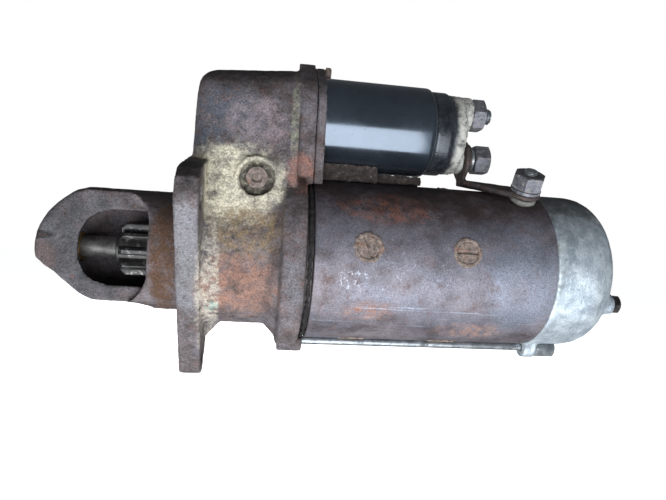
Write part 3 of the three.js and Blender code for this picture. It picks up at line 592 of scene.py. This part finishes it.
# Yoke: radius(x, a) = outside less a recess round each pole screw, on a grid that is fine near
# the screws, with a wall of the CAD's thickness inside it
yokeShape = {"outer": yokeR, "inner": 50.5, "tilt": 171.5, "screwX": (120.5, 187.4), "recess": 7.9,
             "depth": 3.0, "wall": 0.6, "chamfer": 0.5, "nearScrew": np.arange(-9.2, 9.2, 0.4)}
poleTurns = [math.radians(yokeShape["tilt"] + 90 * k) for k in range(4)]
rowX = [np.arange(yokeLow[0] + 0.5, yokeHigh[0] - 0.5, 5.0), [yokeHigh[0] - 0.5]]
rowX += [np.arange(x - 9.2, x + 9.2, 0.4) for x in yokeShape["screwX"]]
rowX = np.unique(np.round(np.concatenate(rowX), 3))
columnA = [np.radians(np.arange(0, 360, 2.5))] + [t + np.radians(yokeShape["nearScrew"]) for t in poleTurns]
columnA = np.unique(np.round(np.mod(np.concatenate(columnA), 2 * np.pi), 5))
x, a = np.meshgrid(rowX, columnA, indexing="ij")
outside = np.full_like(x, yokeShape["outer"])
for turnTo in poleTurns:
    across = (np.mod(a - turnTo + np.pi, 2 * np.pi) - np.pi) * yokeShape["outer"]
    for screwX in yokeShape["screwX"]:
        inside = np.clip((yokeShape["recess"] + yokeShape["wall"] / 2 - np.hypot(across, x - screwX))
                         / yokeShape["wall"], 0, 1)
        outside -= yokeShape["depth"] * inside
ends = [(yokeLow[0], yokeShape["outer"] - yokeShape["chamfer"]), (yokeLow[0], yokeShape["inner"])]
ends += [(yokeHigh[0], yokeShape["inner"]), (yokeHigh[0], yokeShape["outer"] - yokeShape["chamfer"])]
x = np.vstack([x] + [np.full((1, len(columnA)), p[0]) for p in ends[::-1]])
outside = np.vstack([outside] + [np.full((1, len(columnA)), p[1]) for p in ends[::-1]])
a = np.vstack([a] + [columnA[None]] * 4)
points = np.stack([x, outside * np.cos(a), outside * np.sin(a)], -1).reshape(-1, 3)
meshPiece("yokeTube", points, grid(*x.shape, closedRows=True), "wornPaint", "frame", ["yoke"],
          "yoke_paint", 32)

# Pole screws: slotted cheese heads sunk in their recesses, each with a ring of baked dirt round it
screw = {"head": 7.4, "shank": 4.0, "from": 44.0, "seat": 54.8, "top": 57.9, "slot": 1.8, "deep": 1.5,
         "spins": (20, 90, 35, 70, 10, 130, 55, 100), "voxel": 0.32}
screwProfile = smoothProfile(
    [(screw["from"], 0), (screw["from"], screw["shank"]), (screw["seat"], screw["shank"]),
     (screw["seat"], screw["head"]), (screw["top"] - 0.3, screw["head"]), (screw["top"], 0)], 0.9, 4)
dirtRing = {"radius": 8.6, "thick": 1.45, "at": 57.2, "swell": 0.22, "lump": 2.2, "around": 110,
            "section": 10}


boxFaces = [(0, 1, 3, 2), (4, 6, 7, 5), (0, 4, 5, 1), (2, 3, 7, 6), (0, 2, 6, 4), (1, 5, 7, 3)]


def boxMesh(name, centre, axes, sizes):  # a cuboid along three directions
    corners = np.array([(i, j, k) for i in (-0.5, 0.5) for j in (-0.5, 0.5) for k in (-0.5, 0.5)])
    points = np.array(centre) + (corners * sizes) @ np.array(axes)
    return asMesh(name, points, boxFaces)


for pole, turnTo in enumerate(poleTurns):
    outward = np.array([0, math.cos(turnTo), math.sin(turnTo)])
    for k, screwX in enumerate(yokeShape["screwX"]):
        number = 2 * pole + k + 1
        centre = np.array([screwX, 0, 0])
        spin = math.radians(screw["spins"][number - 1] + 90)
        across = np.array([1, 0, 0]) * math.cos(spin) + np.cross(outward, (1, 0, 0)) * math.sin(spin)
        slotBox = boxMesh("slot", centre + outward * (screw["top"] + 2 - screw["deep"]),
                          (across, np.cross(outward, across), outward), (20, screw["slot"], 4))
        cast(f"poleScrew{number}", asMesh("screw", *turned(screwProfile, centre, outward, 72)),
             screw["voxel"], 2, "muddySteel", "frame", [f"pole_screw_{number}"],
             dents=((2.5, 0.05, 10 + number),), cutters=slotBox)
        # The dirt ring's section swells and shrinks as it goes round the screw
        s, t = np.meshgrid(np.linspace(0, 2 * np.pi, dirtRing["section"], endpoint=False),
                           np.linspace(0, 2 * np.pi, dirtRing["around"], endpoint=False), indexing="ij")
        _, side, other = frameOf(outward)
        spokes = side * np.cos(t)[..., None] + other * np.sin(t)[..., None]
        ring = centre + outward * (dirtRing["at"] + 0 * s)[..., None] + spokes * dirtRing["radius"]
        lump = lumps(ring.reshape(-1, 3), dirtRing["lump"], 40 + number).reshape(s.shape)
        swell = dirtRing["thick"] * (1 + dirtRing["swell"] * lump)
        out = spokes * np.cos(s)[..., None]
        ring = ring + swell[..., None] * (out + outward * 0.5 * np.sin(s)[..., None])
        meshPiece(f"screwDirt{number}", ring.reshape(-1, 3),
                  grid(dirtRing["section"], dirtRing["around"], True), "muddySteel", "frame", smooth=80)
print("yoke and screws made")

# Solenoid case: a deep-drawn can with a rolled rear rim, and a lug plate at its front
can = {"radius": 33.4, "rim": 4.4, "wall": 3.8, "front": lowest("solenoid_case"),
       "back": highest("solenoid_case"), "floor": 11.3, "bore": 12.8}
bend = np.linspace(0, math.pi / 2, 9)
rim = [(can["back"] - can["rim"] + can["rim"] * math.sin(t),
        can["radius"] - can["rim"] + can["rim"] * math.cos(t)) for t in bend]
inner, floorX = can["radius"] - can["wall"], can["front"] + can["floor"]
canProfile = dense([(can["front"], can["bore"]), (can["front"], can["radius"] - 0.4),
                    (can["front"] + 0.4, can["radius"])] + rim
                   + [(can["back"] - 0.4, inner), (floorX, inner), (floorX, can["bore"])], 12)
meshPiece("solenoidCan", *turned(canProfile, (0, 0, solenoidZ), (1, 0, 0), 180), "glossEnamel", "frame",
          ["solenoid_case"], "case_paint", 35)


def hull(circles, count=72):  # the outline round several circles, one point for each direction
    a = np.linspace(0, 2 * np.pi, count, endpoint=False)
    way = np.stack([np.cos(a), np.sin(a)], -1)
    centres, radii = np.array([c[:2] for c in circles]), np.array([c[2] for c in circles])
    reach = way @ centres.T + radii
    far = reach.argmax(axis=1)
    return centres[far] + way * radii[far][:, None]


def slab(circles, low, high, edge):  # a plate across X with its edges rounded off
    rings = [(low, edge), (low + edge * 0.3, edge * 0.3), (low + edge, 0), (high - edge, 0),
             (high - edge * 0.3, edge * 0.3), (high, edge)]
    points, count = [], 72
    for x, less in rings:
        loop = hull([(y, z, r - less) for y, z, r in circles], count)
        points.append(np.column_stack([np.full(count, x), loop]))
    last = (len(rings) - 1) * count
    faces = grid(len(rings), count).tolist() + [list(range(count))[::-1], [last + i for i in range(count)]]
    return np.concatenate(points), faces


# Front plate of the solenoid: a cast plate of the seat's outline, hollowed to clear the yoke
plate = {"low": can["front"], "high": can["front"] + 6.3, "top": 139.6, "clear": yokeR + 0.8,
         "circles": ((0, 0, 33.8), (0, -37.2, 32), (0, 32.8, 9), (33.6, -19.4, 6.5)), "voxel": 0.85}
plateShape = slab([(y, z + solenoidZ, r) for y, z, r in plate["circles"]], plate["low"], plate["high"], 0.9)
notches = [turned([(70, 0), (70, plate["clear"]), (110, plate["clear"]), (110, 0)], around=160)]
cornersAt = np.array([(x, y, z) for x in (70, 110) for y in (-40, 40) for z in (plate["top"], 170)], float)
notches.append((cornersAt, boxFaces))
cast("solenoidPlate", asMesh("plate", *plateShape), plate["voxel"], 3, "castIron", "frame",
     ["solenoid_case"], dents=((7, 0.12, 31), (3, 0.08, 32)),
     cutters=asMesh("notches", *joined(notches)))

# Solenoid cap: a phenolic moulding with a boss for each terminal, its end lost under dust
capRings = [(31.3, 28, 171.6, 182.6)]
cast("solenoidCap", copied("solenoid_cap"), 0.8, 3, "dustyPhenolic", "frame", ["solenoid_cap"],
     lambda p: towardsRound(p, capRings, solenoidZ),
     dents=((4, 0.3, 7, (197, 0, solenoidZ), (14, 40, 40)),))


def hexagon(acrossFlats, first, last):
    # radius(s, a) = the smaller of the profile's radius and the hexagon's, AF / 2 cos(a - 30 deg)
    def radius(grown, along, a):
        flat = acrossFlats / 2 / np.cos(np.mod(a, np.pi / 3) - np.pi / 6)
        inside = (along >= first - 0.01) & (along <= last + 0.01)
        return np.where(inside, np.minimum(grown, flat), grown)
    return radius


def nutProfile(low, high, acrossFlats, bore, washer=0.0):  # chamfered both ends, countersunk bore
    corner, flat = acrossFlats / math.sqrt(3), acrossFlats / 2
    seat = low + washer
    body = [(seat, flat * 0.96), (seat + 1.0, corner + 0.1), (high - 1.0, corner + 0.1), (high, flat * 0.94)]
    if washer:
        body = [(low, flat + 0.3), (low + 0.3, flat + 0.6), (seat - 0.3, flat + 0.6), (seat, flat)] + body
    hole = [(high, bore + 0.8), (high - 0.8, bore), (low + 0.5, bore)]
    return dense([(low, bore + 0.5)] + body + hole, 0.5)


def threadProfile(low, high, radius, pitch):
    rows = max(8, int((high - low) / pitch * 9))
    along = np.linspace(low, high, rows)
    return [(low, 0)] + [(float(s), radius) for s in along] + [(high, 0)]


def threaded(low, high, pitch, plain):
    # radius(s, a) = outside less the depth of a 60 degree thread, a triangle wave of s / pitch -
    # a / turn, and less near the end, where the stud is pointed
    def shape(grown, along, a):
        phase = np.mod(along / pitch - a / (2 * np.pi), 1)
        wave = np.clip(np.abs(phase - 0.5) * 2.6 - 0.15, 0, 1)
        point = np.clip((along - (high - 0.9)) / 0.9, 0, 1) * pitch * 0.6
        cutIn = np.where(along > low + plain, pitch * 0.55 * wave, 0)
        return np.where(grown > 0.5, grown - np.maximum(cutIn, point), grown)
    return shape


# Terminals: plated studs with a rolled thread, and chamfered six-sided nuts
terminals = {
    "battery": {"z": solenoidZ + 17.3, "stud": 6.0, "pitch": 1.75, "flats": 22, "nut": (205.5, 216.0)},
    "motor": {"z": solenoidZ - 17.2, "stud": 5.0, "pitch": 1.5, "flats": 20, "nut": (209.3, 221.3)},
}
for label, t in terminals.items():
    start, low, high = (0, 0, t["z"]), lowest(label + "_stud"), highest(label + "_stud")
    stud = threadProfile(low, high, t["stud"], t["pitch"])
    meshPiece(label + "Stud", *turned(stud, start, (1, 0, 0), 60, threaded(low, high, t["pitch"], 12)),
              "zincPlate", "frame", [label + "_stud"], "plated_steel", 60)
    nut = nutProfile(*t["nut"], t["flats"], t["stud"] + 0.2)
    meshPiece(label + "Nut", *turned(nut, start, (1, 0, 0), 144, hexagon(t["flats"], *t["nut"])),
              "grimySteel", "frame", [label + "_nut"], "dirty_screw", 30)
motorZ = terminals["motor"]["z"]
washerLow, washerHigh = lowest("motor_washer"), highest("motor_washer")
washerProfile = [(washerLow, 5.4), (washerLow, 11.1), (washerLow + 0.4, 11.5), (washerHigh - 0.4, 11.5),
                 (washerHigh, 11.1), (washerHigh, 5.4)]
meshPiece("motorWasher", *turned(washerProfile, (0, 0, motorZ), (1, 0, 0), 96), "dirtyCopper", "frame",
          ["motor_washer"], "copper")
# Spring washer: a square section carried round a turn, its ends a little apart and apart in X
coil = {"section": [(0.1, 5.5), (0.1, 9.1), (0.4, 9.5), (2.0, 9.5), (2.3, 9.1), (2.3, 5.5)], "steps": 90,
        "gap": 8, "turn": 115, "rise": 0.6}
section, steps = np.array(coil["section"]), coil["steps"]
sweep = np.radians(np.linspace(coil["gap"], 360 - coil["gap"], steps)) + np.radians(coil["turn"])
s, t = np.meshgrid(np.arange(len(section)), np.arange(steps), indexing="ij")
along = lowest("motor_spring_washer") + section[s, 0] + coil["rise"] * t / steps
points = np.stack([along, section[s, 1] * np.cos(sweep[t]), motorZ + section[s, 1] * np.sin(sweep[t])], -1)
i, j = np.meshgrid(np.arange(len(section)), np.arange(steps - 1), indexing="ij")
k = (i + 1) % len(section)
faces = np.stack([i * steps + j, i * steps + j + 1, k * steps + j + 1, k * steps + j], -1)
firstEnd = [i * steps for i in range(len(section))]
faces = faces.reshape(-1, 4).tolist() + [firstEnd, [i + steps - 1 for i in firstEnd][::-1]]
meshPiece("springWasher", points.reshape(-1, 3), faces, "zincPlate", "frame", ["motor_spring_washer"],
          "plated_steel")

# Field terminal: a stud through the tube's wall, its nut with a washer face over the insulator
field = {"x": 236.5, "turn": math.radians(122.5), "from": 45, "to": 82, "stud": 5, "pitch": 1.5,
         "flats": 20, "nut": (65.9, 79.5), "washer": 2.6, "hex": (68.6, 79.5)}
fieldAxis, fieldStart = (0, math.cos(field["turn"]), math.sin(field["turn"])), (field["x"], 0, 0)
ends = field["from"], field["to"]
stud = threadProfile(*ends, field["stud"], field["pitch"])
meshPiece("fieldStud", *turned(stud, fieldStart, fieldAxis, 60, threaded(*ends, field["pitch"], 14)),
          "zincPlate", "frame", ["field_terminal_stud"], "plated_steel", 60)
nut = nutProfile(*field["nut"], field["flats"], field["stud"] + 0.2, field["washer"])
meshPiece("fieldNut", *turned(nut, fieldStart, fieldAxis, 144, hexagon(field["flats"], *field["hex"])),
          "grimySteel", "frame", ["field_terminal_nut"], "dirty_screw", 30)
insulator = smoothProfile([(49, 5.3), (49, 7.6), (57.6, 7.6), (58.2, 9.2), (61.3, 9.2), (61.3, 5.3)], 0.8)
meshPiece("fieldInsulator", *turned(insulator, fieldStart, fieldAxis, 96), "greyPhenolic", "frame",
          ["field_terminal_insulator"], "bakelite")
cast("linkStrap", copied("link_strap"), 0.7, 3, "dirtyCopper", "frame", ["link_strap"],
     dents=((6, 0.08, 8),))
cast("leverSeal", copied("lever_seal"), 0.9, 4, "mudCake", "frame", ["lever_seal"],
     dents=((7, 0.35, 9), (3, 0.2, 10)))
print("terminals and seal made")

def fastener(family, name, finish, slotName, shape, flats, around):
    # A round shank with a six-sided head or nut, along X through the middle of each CAD node's
    # box. `shape` turns the node's first and last X into the two profiles and the head's ends.
    for number in (1, 2):
        low, high = span(f"{family}_{number}")
        middle = (low + high) / 2
        shank, head, ends = shape(float(low[0]), float(high[0]))
        parts = [turned(shank, (0, *middle[1:]), (1, 0, 0), around[0]),
                 turned(head, (0, *middle[1:]), (1, 0, 0), around[1], hexagon(flats, *ends))]
        meshPiece(f"{name}{number}", *joined(parts), finish, "frame", [f"{family}_{number}"], slotName, 30)


def longRod(low, high):
    shank = [(low, 0), (low, rod["radius"]), (high - 9, rod["radius"]), (high - 9, 0)]
    return smoothProfile(shank, 0.6), nutProfile(*rod["nut"], rod["flats"], rod["radius"] - 0.2), rod["nut"]


def headed(spec):  # a plain shank under a six-sided head with a chamfered, slightly hollow top
    def shape(low, high):
        head, corner = spec["head"], spec["corner"]
        shank = [(low, 0), (low, spec["radius"]), (head + 1, spec["radius"]), (head + 1, 0)]
        top = [(head, 0), (head, corner), (high - spec["chamfer"], corner), (high, spec["top"]),
               (high - 0.3, 0)]
        return smoothProfile(shank, spec["round"]) if spec["round"] else shank, dense(top, 0.4), (head, high)
    return shape


# Through bolts: long drawn rods whose long nuts stand behind the cover's lugs
rod = {"radius": 2.9, "flats": 13, "nut": (266.3, 282.0)}
fastener("through_bolt", "throughBolt", "zincPlate", "plated_steel", longRod, rod["flats"], (48, 120))
# Cover bolts: short, their heads behind the end cover
coverBolt = {"radius": 3, "flats": 12, "head": 304.5, "corner": 12 / math.sqrt(3) + 0.1, "chamfer": 1.0,
             "top": 5.6, "round": 0.5}
fastener("cover_bolt", "coverBolt", "greasySteel", "machined_steel", headed(coverBolt), coverBolt["flats"],
         (36, 96))
# Solenoid screws: small heads on the plate's ears
caseScrew = {"radius": 2.9, "flats": 7.8, "head": 92.3, "corner": 4.5, "chamfer": 0.8, "top": 3.7, "round": 0}
fastener("solenoid_screw", "solenoidScrew", "muddySteel", "dirty_screw", headed(caseScrew),
         caseScrew["flats"], (36, 96))

# Pivot pin: its head sits in the boss, six-sided with worn corners and a centre dimple
pin = {"face": -42.3, "under": -35.7, "end": 41.5, "head": 7.25, "shank": 5, "flats": 13.4,
       "hex": (-43, -35.8)}
pinX, pinZ = sum(span("lever_pivot_pin"))[[0, 2]] / 2
pinProfile = dense(smoothProfile(
    [(pin["face"] + 1.5, 0), (pin["face"] + 1.5, 2.6), (pin["face"], 3.6), (pin["face"], pin["head"]),
     (pin["under"], pin["head"]), (pin["under"], pin["shank"]), (pin["end"], pin["shank"]), (pin["end"], 0)],
    0.7), 0.8)
pinMesh = turned(pinProfile, (pinX, 0, pinZ), (0, 1, 0), 120, hexagon(pin["flats"], *pin["hex"]))
meshPiece("pivotPin", *pinMesh, "muddySteel", "frame", ["lever_pivot_pin"], "machined_steel", 35)

# Pinion: ten teeth cut on a sleeve. radius(s, a) falls from tip to root as the angle from the
# nearest tooth's middle passes the involute's half angle; the front ends are chamfered.
gear = {"teeth": 10, "tip": 19.25, "root": 13.3, "front": -43.0, "back": -19.5, "turn": math.radians(188)}


def toothed(grown, along, a):
    pitchTurn = 2 * np.pi / gear["teeth"]
    away = np.abs(np.mod(a - gear["turn"] + pitchTurn / 2, pitchTurn) - pitchTurn / 2)
    outline = np.interp(away, [0.055, 0.075, 0.118, 0.160, 0.196, 0.215],
                        [gear["tip"], 19.1, 17.6, 16.0, 14.0, gear["root"]])
    inside = (along > gear["front"] - 0.01) & (along < gear["back"] + 0.01) & (grown > gear["root"])
    return np.where(inside, np.minimum(grown, outline), grown)


gearProfile = dense(
    [(-45.6, 7.8), (-46, 8.2), (-46, 10.8), (-45.3, 11.5), (-43.2, 11.5), (gear["front"], 13.2),
     (gear["front"], 16.6), (-40.2, 19.3), (-20.2, 19.3), (gear["back"], 18.5), (gear["back"], 13.9),
     (8.2, 13.9), (8.2, 9.3), (-16.8, 9.3), (-16.8, 7.8)], 1.2)
meshPiece("pinionGear", *turned(gearProfile, (0, 0, 0), (1, 0, 0), 720, toothed), "greasySteel", "pinion",
          ["pinion"], "machined_steel", 28)

# Round running parts, turned true
lathe = {
    "shaft": ("armature_shaft", "turnedSteel", "armature", "machined_steel",
              [(-92, 0), (-92, 6.5), (-91, 7.45), (-16.2, 7.45), (-16.2, 8.95), (67, 8.95), (67, 9.9),
               (87, 9.9), (87, 11), (266, 11), (266, 8), (296, 8), (297, 7), (297, 0)]),
    "clutchBarrel": ("clutch_barrel", "greasySteel", "drive", "machined_steel",
                     [(-17, 14.3), (-17, 26.5), (-15.5, 28), (20.5, 28), (22, 26.5), (22, 16), (45, 16),
                      (45, 24), (48.8, 24), (48.8, 16), (61.2, 16), (61.2, 24), (65, 24), (65, 9.3),
                      (8.6, 9.3), (8.6, 14.3)]),
    "noseBush": ("nose_bush", "oiledBronze", "frame", "bronze",
                 [(-93.6, 7.75), (-93.6, 9.7), (-70, 9.7), (-70, 7.75)]),
    "centreBush": ("center_bush", "oiledBronze", "frame", "bronze",
                   [(70.3, 10.2), (70.3, 12), (85.1, 12), (85.1, 10.2)]),
    "rearBush": ("rear_bush", "oiledBronze", "frame", "bronze",
                 [(281, 8.3), (281, 10), (299.9, 10), (299.9, 8.3)]),
    "bearingPlate": ("center_bearing_plate", "softIron", "frame", "machined_steel",
                     [(70, 12.3), (70, 16.5), (78, 18.5), (80.8, 22), (80.8, 55.5), (85.4, 55.5),
                      (85.4, 12.3)]),
}
for name, (node, finish, body, slotName, profile) in lathe.items():
    meshPiece(name, *turned(smoothProfile(profile, 0.5, 3), around=120), finish, body, [node], slotName, 32)

# Oily crust packed into the joint between the housing and the tube: a flat ring whose width and
# height wander as they go round
crust = {"x": 83.2, "radius": 57, "section": 12, "around": 420, "wide": (1.15, 0.5), "high": (0.8, 0.35),
         "lump": 4}
s, t = np.meshgrid(np.linspace(0, 2 * np.pi, crust["section"], endpoint=False),
                   np.linspace(0, 2 * np.pi, crust["around"], endpoint=False), indexing="ij")
middle = np.stack([crust["x"] + 0 * t, crust["radius"] * np.cos(t), crust["radius"] * np.sin(t)], -1)
wide, high = ((mean + swing * lumps(middle.reshape(-1, 3), crust["lump"], seed)).reshape(s.shape)
              for (mean, swing), seed in ((crust["wide"], 21), (crust["high"], 22)))
r = crust["radius"] + high * np.sin(s)
points = np.stack([crust["x"] + wide * np.cos(s), r * np.cos(t), r * np.sin(t)], -1)
meshPiece("jointCrust", points.reshape(-1, 3), grid(crust["section"], crust["around"], True), "blackGrime",
          "frame", smooth=80)
print("running parts made")

# The CAD's own solids that stay: hidden ones and flat-sided ones
kept = {
    "pole_shoe": "softIron", "brush_plate": "softIron", "solenoid_core": "softIron", "plunger": "softIron",
    "armature_core": "softIron", "field_coil": "lacqueredTape", "brush": "brushCarbon",
    "solenoid_coil": "cleanCopper", "contact_disc": "cleanCopper", "armature_winding": "cleanCopper",
    "commutator": "cleanCopper", "plunger_spring": "zincPlate", "shift_lever": "greasySteel",
}
for name, node in nodes.items():
    if node.hide_render:
        continue
    family = max((key for key in kept if name.startswith(key)), key=len, default=None)
    if family is None:
        print("no finish for", name)
        continue
    if not node.material_slots:
        node.data.materials.append(None)
    for materialSlot in node.material_slots:
        materialSlot.material = paint[kept[family]]

# Floor: a pale sheet under the starter that lets the low window's light through
ground = {"half": 9.0, "gap": 0.0005, "glow": 0.9}  # metres
floorPaint = bpy.data.materials.new("palePaper")
floorPaint.use_nodes = True
floorShader = floorPaint.node_tree.nodes["Principled BSDF"]
floorShader.inputs["Base Color"].default_value = toLinear("#f4f4f2")
floorShader.inputs["Roughness"].default_value = 0.9
floorShader.inputs["Emission Color"].default_value = toLinear("#ffffff")
floorShader.inputs["Emission Strength"].default_value = ground["glow"]
level = float(cadLow[2]) - ground["gap"]
corners = [(i * ground["half"], j * ground["half"], level) for i, j in ((-1, -1), (1, -1), (1, 1), (-1, 1))]
sheet = bpy.data.meshes.new("floor")
sheet.from_pydata(corners, [], [(0, 1, 2, 3)])
sheet.materials.append(floorPaint)
floor = bpy.data.objects.new("floor", sheet)
collection.objects.link(floor)
floor.visible_shadow = floor.visible_glossy = False

print("cad box", cadLow, cadHigh)
